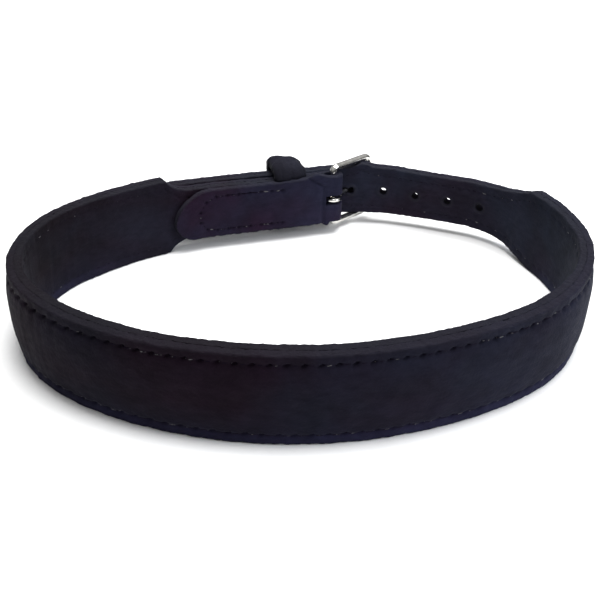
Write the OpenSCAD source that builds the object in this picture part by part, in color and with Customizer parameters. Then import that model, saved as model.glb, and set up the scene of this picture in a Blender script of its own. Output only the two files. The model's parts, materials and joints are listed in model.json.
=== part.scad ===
// Padded leather dog collar with a buckle, standing on its lower edge and buckled shut.
// Millimetres, +Z up. The origin is the middle of the footprint, level with the lower edge.
// The band is walked from the flex line at the front: to the right it ends in the tongue strap,
// to the left it ends in the strap that holds the buckle.

/* [Band] */
// Height of the padded band
band_h = 30; // [28:1:34]
// Thickness of the inner leather
lining_t = 2.5; // [2:0.1:3]
// Thickness of the outer leather
cover_t = 2.5; // [2:0.1:3]
// Thickness of the padding at the edges of the band
pad_edge_t = 1.1; // [0.8:0.1:1.5]
// How far the padding lifts the middle of the cover
dome_rise = 1.8; // [1:0.1:2.5]
// Height of the flat leather margin along each edge
flange_h = 4.2; // [4:0.1:5]

/* [Strap ends] */
// Height of the narrow strap ends
strap_h = 20; // [18:1:20]
// Length of the tongue beyond its bend over the buckle
tongue_tail_l = 69; // [45:1:69]
// Room between the tongue and the strap that it lies on
lap_gap = 0.8; // [0.7:0.1:1.2]
// Inner radius of the bend of the tongue over the buckle
crest_r = 45; // [43:1:48]
// Radius of the corners of the tongue's end
tongue_end_r = 4; // [4:0.5:9]
// Radius of the turned end's upper corner
turned_end_up_r = 12; // [10:0.5:12]
// Radius of the turned end's lower corner
turned_end_low_r = 7; // [5:0.5:7]
// Width of the leather loop around the buckle bar
loop_h = 18; // [15:1:18]

/* [Lie of the band, each stretch as its length and its turn in degrees] */
// Place on the inner face where the band flexes open
flex_point = [16.42, -67.25]; // [-90:0.01:30]
// Direction of the band at the flex line
flex_heading = 12; // [10:1:14]
// Front right
front_right = [51, 23]; // [20:1:60]
// Right side
side_right = [86, 80]; // [70:1:90]
// Run-in to the right shoulder
shoulder_right = [13, 5]; // [4:1:16]
// Bend behind the right shoulder
rear_right = [23, 41]; // [20:1:45]
// Front left
front_left = [78, 39]; // [30:1:80]
// Left front corner
corner_left = [23, 20]; // [18:1:26]
// Left side
side_left = [60, 81]; // [55:1:85]
// Run-in to the left shoulder
rear_left = [33, 20]; // [18:1:36]
// Left shoulder
shoulder_left = [10, 6]; // [4:1:12]
// First stretch of the buckle strap
strap_bend = [12, 8]; // [6:1:14]
// Straight length of the buckle strap, up to the bar
strap_straight = 47.4; // [44:0.1:50]

/* [Holes] */
// Radius of the punched holes
hole_r = 1.5; // [1.4:0.1:2.2]
// Distance from one hole to the next
hole_pitch = 13.4; // [12:0.1:15]
// Number of holes, with the one in use
hole_count = 5; // [3:1:5]

/* [Buckle] */
// Radius of the frame's wire
wire_r = 1.4; // [1.2:0.1:1.4]
// Clear height inside the frame
frame_clear_h = 21.2; // [21:0.1:23]
// How far the frame sits above the middle of the strap
frame_lift = 0.4; // [0:0.1:0.4]
// Length of the frame from the bar to the far end
frame_l = 20.5; // [20.5:0.1:22]
// Angle of the frame from the buckle strap
frame_tilt = 26.5; // [26:0.5:28]
// Radius of the frame's corners at the far end
end_corner_r = 3; // [2:0.1:4]
// Radius of the frame's corners at the bar
bar_corner_r = 2; // [1.6:0.1:3]
// Radius of the prong
prong_r = 1.1; // [0.9:0.1:1.2]
// How far the prong reaches past the far end of the frame
prong_over = 2.2; // [1:0.1:3]
// Height of the prong's eye along the bar
eye_h = 3; // [2.5:0.1:3.5]

/* [Keeper] */
// Width of the keeper along the strap
keeper_w = 12; // [10:1:15]
// Thickness of the keeper's leather
keeper_t = 2.2; // [1.8:0.1:2.4]
// Distance from the keeper's middle to the buckle bar
keeper_back = 18; // [15:0.5:24]

/* [Stitching] */
// Thickness of the thread
thread_t = 0.6; // [0.4:0.05:0.7]
// Distance from the band's edge to its stitching
seam_inset = 3; // [2.5:0.1:3.5]
// Distance from the strap's edge to its stitching
strap_seam_inset = 3.5; // [3:0.1:4.5]

/* [Hidden] */
$fn = 64;

eps = 0.01;
ply_gap = 0.02;              // air between layers of leather
flex_gap = 0.1;              // half of the slit at the flex line
mid_h = band_h / 2;
strap_z = mid_h - strap_h / 2;
cover_in = lining_t + pad_edge_t;
edge_t = cover_in + cover_t;
tongue_t = lining_t + cover_t;
reach = 80;                  // longer than any cut needs to be

station_turn = 4;            // degrees between the facets of a bend
station_l = 6;               // and the longest facet of a bend
dome_half = mid_h - flange_h;
dome_steps = 4;
dome_wall = 1;               // leather left beside the padding at each step

// The two halves of the band overlap at the flex line by a little before each is trimmed there
flex_lap = 0.4;
flex_pose = [flex_point.x, flex_point.y, flex_heading];
flex_back = [flex_point.x, flex_point.y, flex_heading + 180];

// Stretches of the band, walked from the flex line with turns counted to the left
right_domed = [lapped(front_right), side_right];
right_band = concat(right_domed, [shoulder_right]);
left_domed = [for (s = [lapped(front_left), corner_left, side_left, rear_left]) left_turn(s)];
left_flat = [left_turn(shoulder_left)];
buckle_strap = [left_turn(strap_bend), [strap_straight, 0]];

right_start = step(flex_pose, [-flex_lap, 0]);
left_start = step(flex_back, [-flex_lap, 0]);
shoulder_pose = walk(right_start, right_domed, 2);
root_pose = walk(right_start, right_band, 3);
left_shoulder_pose = walk(left_start, left_domed, 4);
strap_pose = step(left_shoulder_pose, left_flat[0]);
bar_foot = walk(strap_pose, buckle_strap, 2);

// The loop of leather around the bar, and the strap turned back inside it
bar_gap = 0.05;              // running clearance on the bar
loop_in = wire_r + bar_gap;
loop_out = loop_in + cover_t;
bar_offset = lining_t - loop_in;
fold_x = bar_offset - loop_out;
bar_xy = aside(bar_foot, bar_offset, -1);
loop_leg = 3.5;
slot_h = eye_h + 1.8;

// The tongue: its straight stretch is as long as it must be to lie on the buckle strap
lap_x = tongue_t + lap_gap;
tongue_bend_pose = step(root_pose, rear_right);
crest_turn = bar_foot[2] + 180 - tongue_bend_pose[2];
crest = [crest_r * crest_turn * PI / 180, crest_turn];
tongue_run = tongue_straight();
tongue_path = [[tongue_run, 0], crest, [tongue_tail_l, 0]];
crest_pose = step(tongue_bend_pose, [tongue_run, 0]);

// The prong rests on the far end of the frame and leans away from it by its own thickness
frame_dir = bar_foot[2] + frame_tilt;
prong_dir = frame_dir + asin((wire_r + prong_r + bar_gap) / frame_l);
eye_r = loop_in + 1.25;
used_hole_s = prong_hole_distance();

leather = [0.13, 0.12, 0.15];
suede = [0.17, 0.16, 0.2];
foam = [0.3, 0.3, 0.32];
thread = [0.3, 0.3, 0.36];
metal = [0.8, 0.8, 0.82];

// Pose [x, y, heading] at the end of stretch s = [length, turn], starting from pose p
function step(p, s) = s[1] == 0
    ? [p.x + s[0] * cos(p[2]), p.y + s[0] * sin(p[2]), p[2]]
    : let (r = s[0] * 180 / (PI * s[1]))
      [p.x + r * (sin(p[2] + s[1]) - sin(p[2])), p.y - r * (cos(p[2] + s[1]) - cos(p[2])), p[2] + s[1]];

// Pose after the first n stretches of a path
function walk(p, path, n) = n == 0 ? p : step(walk(p, path, n - 1), path[n - 1]);

// The same stretch, turning right
function left_turn(s) = [s[0], -s[1]];

// A stretch that starts before the flex line
function lapped(s) = [s[0] + flex_lap, s[1]];

// Point beside pose p, d to its right (side 1) or to its left (side -1)
function aside(p, d, side) = [p.x + side * d * sin(p[2]), p.y - side * d * cos(p[2])];

// Length of the tongue between the right bend and the crest that brings its tail onto the strap
function tongue_straight() =
    let (n = [-sin(bar_foot[2]), cos(bar_foot[2])],
         after = step(tongue_bend_pose, crest),
         from_foot = [after.x - bar_foot.x, after.y - bar_foot.y],
         run_dir = [cos(tongue_bend_pose[2]), sin(tongue_bend_pose[2])])
    (lap_x - n * from_foot) / (n * run_dir);

// Distance along the crest, from its start, at which the prong meets the middle of the tongue
function prong_hole_distance() =
    let (c = [crest_pose.x - crest_r * sin(crest_pose[2]), crest_pose.y + crest_r * cos(crest_pose[2])],
         d = [cos(prong_dir), sin(prong_dir)],
         b = bar_xy - c,
         r = crest_r + tongue_t / 2,
         t = -(b * d) + sqrt((b * d) * (b * d) - b * b + r * r),
         hit = b + t * d)
    crest_r * (atan2(hit.y, hit.x) - crest_pose[2] + 90) * PI / 180;

// Poses along a path, no more than station_turn degrees or station_l millimetres apart
function stations(p, path) = [
    for (i = [0 : len(path) - 1])
        let (s = path[i],
             start = walk(p, path, i),
             n = s[1] == 0 ? 1 : ceil(max(abs(s[1]) / station_turn, s[0] / station_l)))
        for (k = [i == 0 ? 0 : 1 : n]) step(start, scaled(s, k / n))
];

// Part k of a stretch
function scaled(s, k) = [s[0] * k, s[1] * k];

// Plan of a layer between the distances x0 and x1 outwards from the inner face. The outside is to the
// right of the walk (side 1) or to its left (side -1).
function plan(p, path, side, x0, x1) =
    let (poses = stations(p, path), n = len(poses))
    concat([for (i = [0 : n - 1]) aside(poses[i], x0, side)],
           [for (i = [n - 1 : -1 : 0]) aside(poses[i], x1, side)]);

// A layer as an upright wall from height z, h high
module wall(p, path, side, x0, x1, z = 0, h = band_h) {
    translate([0, 0, z]) linear_extrude(h) polygon(plan(p, path, side, x0, x1));
}

module strap_wall(p, path, side, x0, x1) wall(p, path, side, x0, x1, strap_z, strap_h);

// The cover is a flat wall, with a middle that rises in steps and is hollow behind for the padding
module cover_walls(p, domed, flat, side) difference() {
    union() {
        wall(p, concat(domed, flat), side, cover_in, edge_t);
        dome(p, domed, side, cover_in + 0.5, edge_t, 0, 0.5);
    }
    dome(p, domed, side, 0, cover_in, dome_wall, 1.5);
}

module padding_walls(p, domed, side) {
    pad_inset = 1.2;
    end_gap = 1.7;
    difference() {
        wall(p, domed, side, lining_t, cover_in - ply_gap, pad_inset, band_h - 2 * pad_inset);
        past_end(p, domed, end_gap);
    }
    dome(p, domed, side, lining_t + 0.4, cover_in - ply_gap, dome_wall + ply_gap, end_gap);
}

// The steps of the dome from x0 up to x1 and their rise, stopping short of the end of the path
module dome(p, path, side, x0, x1, inset, end_gap) difference() {
    for (k = [1 : dome_steps]) dome_step(p, path, side, k, x0, x1 + dome_x(k), inset);
    past_end(p, path, end_gap);
}

// What lies behind pose p, and what lies past the end of a path
module behind(p) translate([p.x, p.y, -1]) rotate([0, 0, p[2]]) translate([-reach, -reach / 2, 0])
    cube([reach, reach, band_h + 2]);

module past_end(p, path, end_gap) {
    end = walk(p, path, len(path));
    behind(step([end.x, end.y, end[2] + 180], [end_gap, 0]));
}

// The two halves of the band, trimmed at the flex line
module right_half() difference() {
    children();
    behind(step(flex_pose, [flex_gap, 0]));
}

module left_half() difference() {
    children();
    behind(step(flex_back, [flex_gap, 0]));
}

// Step k of the dome, with its upper and lower edges moved in by inset
module dome_step(p, path, side, k, x0, x1, inset) {
    half = dome_half * (1 - (k - 1) / dome_steps) - inset;
    wall(p, path, side, x0, x1, mid_h - half, 2 * half);
}

// Rise of step k of the dome
function dome_x(k) = dome_rise * sin(90 * k / dome_steps);

// Shoulder cuts: the band narrows to the strap in a concave curve of length l, over the given drop
module shoulder_cut(p, l, turn, upper) {
    drop = (band_h - strap_h) / 2;
    r = (l * l + drop * drop) / (2 * drop);
    translate([p.x, p.y, mid_h]) rotate([0, 0, p[2] + turn]) mirror([0, 0, upper ? 0 : 1])
        rotate([90, 0, 0]) linear_extrude(reach, center = true) intersection() {
            translate([0, strap_h / 2]) square([reach, reach]);
            union() {
                translate([l, strap_h / 2 + r]) circle(r, $fn = 128);
                translate([l, 0]) square([reach, reach]);
            }
        }
}

module right_shoulder_cuts() {
    upper_start = step(shoulder_pose, [4, 2]);
    shoulder_cut(upper_start, 22, 13, true);
    shoulder_cut(step(shoulder_pose, [0.4, 0]), 34, 20, false);
}

module left_shoulder_cuts() {
    start = step(left_shoulder_pose, [0.4, 0]);
    for (upper = [true, false]) shoulder_cut(start, 10, -3, upper);
}

// Holes of the tongue, from the one in use towards the shoulder
module hole_axis(i) {
    from_crest = used_hole_s - i * hole_pitch;
    p = from_crest >= 0
        ? step(crest_pose, [from_crest, from_crest / crest_r * 180 / PI])
        : -from_crest <= tongue_run
            ? step(crest_pose, [from_crest, 0])
            : step(tongue_bend_pose, scaled(rear_right, (-from_crest - tongue_run) / -rear_right[0]));
    translate([p.x, p.y, mid_h]) rotate([0, 0, p[2]]) rotate([90, 0, 0]) children();
}

module tongue_cuts() {
    for (i = [0 : hole_count - 1]) hole_axis(i) cylinder(r = hole_r, h = 4 * tongue_t, center = true);
    translate([bar_xy.x, bar_xy.y, mid_h]) rotate([0, 90, prong_dir]) translate([0, 0, loop_out + 1])
        cylinder(r = prong_r + 0.3, h = frame_l);
}

// What is cut away to round the end of a strap that starts at pose p, with its corners' radii
module round_end(p, r_up, r_low) translate([p.x, p.y, mid_h]) rotate([0, 0, p[2]]) rotate([90, 0, 0])
    linear_extrude(reach, center = true) difference() {
        translate([-strap_h, -strap_h]) square([strap_h + max(r_up, r_low), 2 * strap_h]);
        translate([r_up, strap_h / 2 - r_up]) circle(r_up);
        translate([r_low, r_low - strap_h / 2]) circle(r_low);
        translate([r_up, strap_h / 2 - r_up]) square(strap_h);
        translate([r_low, r_low - 1.5 * strap_h]) square(strap_h);
        translate([0, r_low - strap_h / 2]) square([1.5 * strap_h, strap_h - r_up - r_low]);
    }

// Buckle side of the band
strap_to_loop = [buckle_strap[0], [strap_straight - loop_leg, 0]];
half_shoulder = scaled(left_flat[0], 0.5);
fold_tip = step(left_shoulder_pose, half_shoulder);

module lining_buckle_side() color(suede) left_half() difference() {
    wall(left_start, concat(left_domed, left_flat, strap_to_loop), -1, 0, lining_t - ply_gap);
    left_shoulder_cuts();
    keeper_place() translate([-keeper_w / 2 - 0.2, -reach + keeper_seat, -reach / 2])
        cube([keeper_w + 0.4, reach, reach]);
}

module padding_buckle_side() color(foam) left_half() padding_walls(left_start, left_domed, -1);

module cover_buckle_side() color(leather) {
    left_half() difference() {
        union() {
            cover_walls(left_start, left_domed, left_flat, -1);
            wall(fold_tip, concat([half_shoulder], strap_to_loop), -1, lining_t, lining_t + cover_t);
        }
        left_shoulder_cuts();
    }
    difference() {
        strap_wall(fold_tip, concat([half_shoulder], strap_to_loop), -1, fold_x, fold_x + cover_t);
        round_end(fold_tip, turned_end_up_r, turned_end_low_r);
    }
    bar_loop();
}

// The narrow stretch of leather that goes around the bar, with the slot for the prong. It is drawn a
// little thinner where it leaves the straps.
module bar_loop() difference() {
    drawn = 0.03;
    nip = 0.5;
    translate([bar_xy.x, bar_xy.y, mid_h - loop_h / 2]) rotate([0, 0, bar_foot[2]]) linear_extrude(loop_h)
        difference() {
            union() {
                circle(loop_out);
                translate([-loop_leg - nip, drawn - loop_out])
                    square([loop_leg + nip, 2 * (loop_out - drawn)]);
            }
            circle(loop_in);
            translate([-reach, -loop_in - drawn]) square([reach, 2 * (loop_in + drawn)]);
        }
    translate([bar_xy.x, bar_xy.y, mid_h]) rotate([0, 0, bar_foot[2]])
        translate([-loop_leg + 0.3, -reach / 2, -slot_h / 2]) cube([reach, reach, slot_h]);
}

// Keeper: a closed band of leather around the strap and the tongue, held under the turned end
keeper_seat = 1;             // depth of the seat cut in the lining
keeper_z = strap_h / 2 + 2.2;
keeper_in = fold_x + cover_t + 0.05;
keeper_out = lap_x + tongue_t + 0.7;

module keeper_place() {
    p = step(bar_foot, [-keeper_back, 0]);
    translate([p.x, p.y, mid_h]) rotate([0, 0, p[2]]) children();
}

module keeper() color(leather) keeper_place() rotate([90, 0, 90])
    linear_extrude(keeper_w, center = true) difference() {
        translate([keeper_in, -keeper_z - keeper_t])
            square([keeper_out + keeper_t - keeper_in, 2 * (keeper_z + keeper_t)]);
        translate([keeper_seat - 0.05, -keeper_z]) square([keeper_out - keeper_seat + 0.05, 2 * keeper_z]);
    }

// Thread on both faces of the leather, at height z
module seam(p, path, side, z, outer_x, inner_x) {
    for (x = [outer_x + ply_gap, inner_x - ply_gap - thread_t]) thread_run(p, path, side, z, x);
}

module thread_run(p, path, side, z, x) wall(p, path, side, x, x + thread_t, z - thread_t / 2, thread_t);

module seam_buckle_side(z) color(thread) left_half() seam(left_start, left_domed, -1, z, edge_t, 0);
module upper_seam_buckle_side() seam_buckle_side(band_h - seam_inset);
module lower_seam_buckle_side() seam_buckle_side(seam_inset);

module turnback_seam() color(thread) {
    inset = strap_z + strap_seam_inset;
    lead = 4;
    half_bend = scaled(buckle_strap[0], 0.5);
    path = [half_bend, [strap_straight - keeper_back - keeper_w / 2 - lead, 0]];
    for (z = [inset, band_h - inset])
        thread_run(step(strap_pose, half_bend), path, -1, z, fold_x - thread_t - ply_gap);
}

// Tongue side of the band
module lining_tongue_side() color(suede) right_half() difference() {
    wall(right_start, right_band, 1, 0, lining_t - ply_gap);
    right_shoulder_cuts();
}

module padding_tongue_side() color(foam) right_half() padding_walls(right_start, right_domed, 1);

module cover_tongue_side() color(leather) right_half() difference() {
    cover_walls(right_start, right_domed, [shoulder_right], 1);
    right_shoulder_cuts();
}

module seam_tongue_side(z) color(thread) right_half() seam(right_start, right_domed, 1, z, edge_t, 0);
module upper_seam_tongue_side() seam_tongue_side(band_h - seam_inset);
module lower_seam_tongue_side() seam_tongue_side(seam_inset);

// One layer of the tongue: x is its distance from the inner face
module tongue_ply(x, t) difference() {
    root_gap = 0.05;
    start = step(root_pose, scaled(rear_right, root_gap / rear_right[0]));
    rest_of_bend = scaled(rear_right, 1 - root_gap / rear_right[0]);
    tip = walk(tongue_bend_pose, tongue_path, 3);
    union() {
        difference() {
            wall(start, [rest_of_bend], 1, x, x + t);
            right_shoulder_cuts();
        }
        strap_wall(start, concat([rest_of_bend], tongue_path), 1, x, x + t);
    }
    round_end([tip.x, tip.y, tip[2] + 180], tongue_end_r, tongue_end_r);
    tongue_cuts();
}

module tongue_inner_ply() color(suede) tongue_ply(0, lining_t - ply_gap);
module tongue_outer_ply() color(leather) tongue_ply(lining_t, cover_t);

module tongue_seam() color(thread) {
    inset = strap_z + strap_seam_inset;
    path = [tongue_path[0], tongue_path[1], [tongue_tail_l - strap_h / 2, 0]];
    for (z = [inset, band_h - inset]) seam(tongue_bend_pose, path, 1, z, tongue_t, 0);
}

// Buckle: local x runs from the bar to the far end, local y along the bar
module frame_place() translate([bar_xy.x, bar_xy.y, mid_h + frame_lift]) rotate([0, 0, frame_dir]) rotate([90, 0, 0])
    children();

module buckle_frame() color(metal) frame_place() {
    rail_y = frame_clear_h / 2 + wire_r;
    for (s = [-1, 1]) {
        translate([bar_corner_r, s * rail_y, 0]) rotate([0, 90, 0])
            cylinder(r = wire_r, h = frame_l - bar_corner_r - end_corner_r);
        translate([bar_corner_r, s * (rail_y - bar_corner_r), 0])
            rotate([0, 0, s > 0 ? 90 : 180]) corner(bar_corner_r);
        translate([frame_l - end_corner_r, s * (rail_y - end_corner_r), 0])
            rotate([0, 0, s > 0 ? 0 : -90]) corner(end_corner_r);
    }
    upright(0, rail_y - bar_corner_r);
    upright(frame_l, rail_y - end_corner_r);
}

module corner(r) rotate_extrude(angle = 90) translate([r, 0]) circle(wire_r, $fn = 32);

module upright(x, half) translate([x, -half, 0]) rotate([-90, 0, 0]) cylinder(r = wire_r, h = 2 * half);

module buckle_prong() color(metal) translate([bar_xy.x, bar_xy.y, mid_h]) {
    prong_l = frame_l + prong_over;
    difference() {
        union() {
            cylinder(r = eye_r, h = eye_h, center = true);
            rotate([0, 90, prong_dir]) cylinder(r = prong_r, h = prong_l);
            rotate([0, 90, prong_dir]) translate([0, 0, prong_l]) sphere(prong_r, $fn = 32);
        }
        cylinder(r = loop_in, h = 2 * eye_h, center = true);
    }
}

lining_buckle_side();
padding_buckle_side();
cover_buckle_side();
keeper();
upper_seam_buckle_side();
lower_seam_buckle_side();
turnback_seam();
lining_tongue_side();
padding_tongue_side();
cover_tongue_side();
upper_seam_tongue_side();
lower_seam_tongue_side();
tongue_inner_ply();
tongue_outer_ply();
tongue_seam();
buckle_frame();
buckle_prong();
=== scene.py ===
"""Looks of a padded nubuck buckle collar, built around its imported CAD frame."""
import json
import math

import bmesh
import bpy
import numpy as np
from mathutils import Matrix, Vector


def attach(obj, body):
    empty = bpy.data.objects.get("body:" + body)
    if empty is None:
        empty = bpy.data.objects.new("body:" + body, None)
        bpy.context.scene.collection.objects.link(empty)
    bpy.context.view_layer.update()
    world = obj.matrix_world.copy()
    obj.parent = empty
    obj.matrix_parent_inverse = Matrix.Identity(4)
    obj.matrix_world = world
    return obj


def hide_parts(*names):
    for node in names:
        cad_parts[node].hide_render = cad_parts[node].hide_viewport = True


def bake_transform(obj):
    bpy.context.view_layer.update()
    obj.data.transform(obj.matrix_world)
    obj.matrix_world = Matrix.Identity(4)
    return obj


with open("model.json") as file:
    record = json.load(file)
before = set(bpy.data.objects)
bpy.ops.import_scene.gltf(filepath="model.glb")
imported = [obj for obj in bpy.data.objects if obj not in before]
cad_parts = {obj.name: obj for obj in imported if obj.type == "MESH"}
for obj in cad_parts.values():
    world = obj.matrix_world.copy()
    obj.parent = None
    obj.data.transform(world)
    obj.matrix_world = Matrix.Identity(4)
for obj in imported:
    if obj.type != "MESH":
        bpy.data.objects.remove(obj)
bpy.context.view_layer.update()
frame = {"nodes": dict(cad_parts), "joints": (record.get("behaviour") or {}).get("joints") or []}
joints = {joint["name"]: joint for joint in frame["joints"]}

# All lengths below are in millimetres, as in the part, and become metres when a mesh is made.
MM = 0.001
TAU = 2 * math.pi

# The lie of the band: its stretches as (length, turn in degrees), walked from the flex line.
FLEX_HEADING = 12
FLEX_LAP = 0.4                # each side's path starts this far before the flex line
RIGHT = [(51, 23), (86, 80), (13, 5), (23, 41), (24.29, 0), (29.06, 37), (69, 0)]
LEFT = [(78, -39), (23, -20), (60, -81), (33, -20), (10, -6), (12, -8), (47.4, 0)]
U_TIP = sum(length for length, turn in RIGHT)
U_BAR = -sum(length for length, turn in LEFT)
U_SHOULDER_R = 137.0          # where the padded part ends on the tongue side
U_SHOULDER_L = -194.0         # and on the buckle side
U_STRAP_L = -204.0            # the buckle side is a plain strap from here on
U_SPLIT = 136.0               # the tongue is its own piece from here on
KEEPER_U = U_BAR + 18.0
U_CREST = sum(length for length, turn in RIGHT[:5])    # the tongue's bend before the buckle starts here

# Leather, measured outwards from the inner face of the band.
BAND_H = 30.0
STRAP_H = 20.0
MID = BAND_H / 2
LINING_T = 2.5
PLY = 2.5                     # thickness of one leather of the straps
EDGE_T = 6.1                  # thickness of the padded band at its edges
DOME = 1.8                    # how far the padding lifts the cover above its edges
SPLIT_WIDE = 3.05             # line between the two leathers along the edge of the padded band
STITCH = 4.4
SEAM_INSET = 3.0              # from the edges to the stitch rows, on the band and on the straps
STRAP_SEAM_INSET = 3.3
LOW_SEAM_EXTRA = 0.5          # the lower row lies this much further in on the padded part
NEEDLE_SLANT = math.radians(32)
SHOULDER_TOP = (141.0, 22.0)  # start and length of the tongue side's two concave shoulders
SHOULDER_LOW = (137.4, 36.0)
SHOULDER_LEFT = (195.8, 10.0)     # and of the buckle side's, counted the other way
HUMP, HUMP_PAST_CREST, HUMP_W = 1.6, 16.3, 3.2    # a rise of the tongue's top edge beside the frame

BAR = np.array(joints["frame_swing"]["pos_m"][:2]) / MM
HINGE = np.array(joints["collar_opening"]["pos_m"][:2]) / MM
LOOP_IN = 1.45                # inner radius of the loop round the bar
LOOP_LEG = 3.5                # from the bar to where the loop begins
LOOP_LOW, LOOP_TOP = 5.5, 25.1    # lower and upper edge of the loop
FOLD_X = -0.4                 # face of the turned end that lies on the lining
FOLD_TIP_U = -198.0
HOLE_R = 1.5
HOLE_PITCH = 13.4
TONGUE_END_R = 4.0
TURNED_UP = (15.0, 12.6)      # length and height of the upper corner of the turned end's tip
TURNED_LOW = (7.0, 7.2)
PRESSED = 1.4                 # how far the inner face is pressed out on the two sides
PRESSED_AT, PRESSED_W = (98, -128), 34
PRESSED_DOME = 0.3            # share of the dome that is lost there
LEAN = 0.115                  # how far the tongue leans in, for each mm of height
LEAN_IN, LEAN_OUT = (140, 156), (U_CREST + 12, U_CREST - 14)    # where the lean comes and goes
SPLIT_GAP = 0.015             # half the gap between the two leathers
SEAT, SEAT_W = 1.25, 8        # the lining is pressed in under the keeper
HOLE_COUNT = 5
LAST_HOLE_PAST_CREST = 20.83
HOLES_U = [U_CREST + LAST_HOLE_PAST_CREST - i * HOLE_PITCH for i in range(HOLE_COUNT)]

# Relief of the seams: depth and half widths.
GROOVE, GROOVE_W = 0.15, 0.62
NEEDLE_CUT, NEEDLE_CUT_L, NEEDLE_CUT_W = 0.95, 1.0, 0.4
PUCKER, PUCKER_AWAY, PUCKER_W = 0.06, 1.5, 1.0
INNER_MARKS = 0.35            # share of it that shows on the inner face

# The punched holes' lips and the dips around them: height, radius and width.
LIP, LIP_R, LIP_W = 0.26, 2.2, 0.5
DIP, DIP_R, DIP_W = 0.12, 3.5, 0.8

# Unevenness of the cut edges (short and long), of the dome (a share) and of the padded face.
EDGE_RAG, EDGE_SWAY = 0.13, 0.2
LUMPS, WAVER = 0.1, 0.12

# Creases where the leather is bent hard; the zones are (place, width, strength).
CREASE_DEPTH = 0.13
CREASE_ZONES = ((148, 9, 1.0), (166, 8, 1.0), (-98, 16, 0.7), (-150, 22, 0.8), (-203, 6, 1.0))

# How much the corners of the inner and the outer face are rounded.
LINING_ROUND, COVER_ROUND, FOLD_ROUND = (0.45, 0.12), (0.12, 0.6), (0.2, 0.6)


def smooth(x, a, b):
    """0 before a, 1 after b, and smooth between them; a may be larger than b."""
    t = np.clip((np.asarray(x, float) - a) / (b - a), 0, 1)
    return t * t * (3 - 2 * t)


def bump(x, centre, width):
    return np.exp(-(((np.asarray(x, float) - centre) / width) ** 2))


def waves(x, lengths, seed):
    """Sum of sines of the given wave lengths, with seeded phases, between about -1 and 1."""
    phases = np.random.default_rng(seed).uniform(0, TAU, len(lengths))
    total = sum(np.sin(TAU * np.asarray(x) / length + phase) for length, phase in zip(lengths, phases))
    return total / len(lengths)


def walk(path, start, s):
    """Points and headings at the distances s along a path of arcs and straights."""
    s = np.atleast_1d(np.asarray(s, float))
    x, y, heading = start
    points = np.zeros((len(s), 2))
    headings = np.zeros(len(s))
    done = 0.0
    for i, (length, turn) in enumerate(path):
        last = i == len(path) - 1
        here = (s >= done - 1e-9) & ((s < done + length) | last) | ((s < 0) & (i == 0))
        local = s[here] - done
        h0 = math.radians(heading)
        if turn == 0:
            points[here] = np.stack([x + local * math.cos(h0), y + local * math.sin(h0)], 1)
            headings[here] = h0
            x, y = x + length * math.cos(h0), y + length * math.sin(h0)
        else:
            r = length / math.radians(turn)
            h = h0 + local / r
            points[here, 0] = x + r * (np.sin(h) - math.sin(h0))
            points[here, 1] = y - r * (np.cos(h) - math.cos(h0))
            headings[here] = h
            h1 = h0 + math.radians(turn)
            x, y = x + r * (math.sin(h1) - math.sin(h0)), y - r * (math.cos(h1) - math.cos(h0))
        heading += turn
        done += length
    return points, headings


def lapped(path):
    return [(path[0][0] + FLEX_LAP, path[0][1])] + path[1:]


def place(u):
    """Inner face of the band at the distances u from the flex line: points and outward normals."""
    u = np.atleast_1d(np.asarray(u, float))
    h = math.radians(FLEX_HEADING)
    flex = HINGE - (EDGE_T + DOME) * np.array([math.sin(h), -math.cos(h)])
    points = np.zeros((len(u), 2))
    normals = np.zeros((len(u), 2))
    for side, path, heading in ((1, RIGHT, FLEX_HEADING), (-1, LEFT, FLEX_HEADING + 180)):
        here = (u >= 0) if side > 0 else (u < 0)
        if not here.any():
            continue
        h = math.radians(heading)
        start = flex - FLEX_LAP * np.array([math.cos(h), math.sin(h)])
        at, turned = walk(lapped(path), (start[0], start[1], heading), np.abs(u[here]) + FLEX_LAP)
        points[here] = at
        normals[here] = side * np.stack([np.sin(turned), -np.cos(turned)], 1)
    return points, normals


def concave(distance, length, drop):
    """How far an edge has come in at a distance along a concave shoulder."""
    r = (length * length + drop * drop) / (2 * drop)
    x = np.clip(distance, 0, length)
    return drop - (r - np.sqrt(np.maximum(r * r - (length - x) ** 2, 0)))


def corner_drop(distance, r):
    """How far a strap's edge has come in at a distance from its end, for a corner of radius r."""
    into = np.clip(r - distance, 0, r)
    return r - np.sqrt(np.maximum(r * r - into * into, 0))


def blunt_drop(distance, corner):
    """The same for a corner of the given length and height that is flatter than an ellipse."""
    length, height = corner
    into = np.clip((length - distance) / length, 0, 1)
    return height * (1 - np.maximum(1 - into ** 1.75, 0) ** (1 / 1.75))


def edges(u):
    """Lower and upper edge of the band at the distances u."""
    u = np.asarray(u, float)
    drop = MID - STRAP_H / 2
    left = concave(-u - SHOULDER_LEFT[0], SHOULDER_LEFT[1], drop)
    hump = HUMP * bump(u, U_CREST + HUMP_PAST_CREST, HUMP_W)
    end = corner_drop(np.maximum(U_TIP - u, 0), TONGUE_END_R)
    top = BAND_H - concave(u - SHOULDER_TOP[0], SHOULDER_TOP[1], drop) - left - end + hump
    low = concave(u - SHOULDER_LOW[0], SHOULDER_LOW[1], drop) + left + end
    rag_top = EDGE_RAG * waves(u, [2.7, 6.1, 9.9, 25], 4) + EDGE_SWAY * waves(u, [60, 90], 14)
    return low + EDGE_RAG * waves(u, [3.1, 5.3, 8.7, 21], 3), top + rag_top


def wide(u):
    """1 where the band is padded, 0 on the straps."""
    return smooth(u, U_SHOULDER_R + 20, U_SHOULDER_R - 2) * smooth(u, U_STRAP_L + 1, U_SHOULDER_L + 2)


def seam_inset(u):
    return STRAP_SEAM_INSET + (SEAM_INSET - STRAP_SEAM_INSET) * wide(u)


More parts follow.
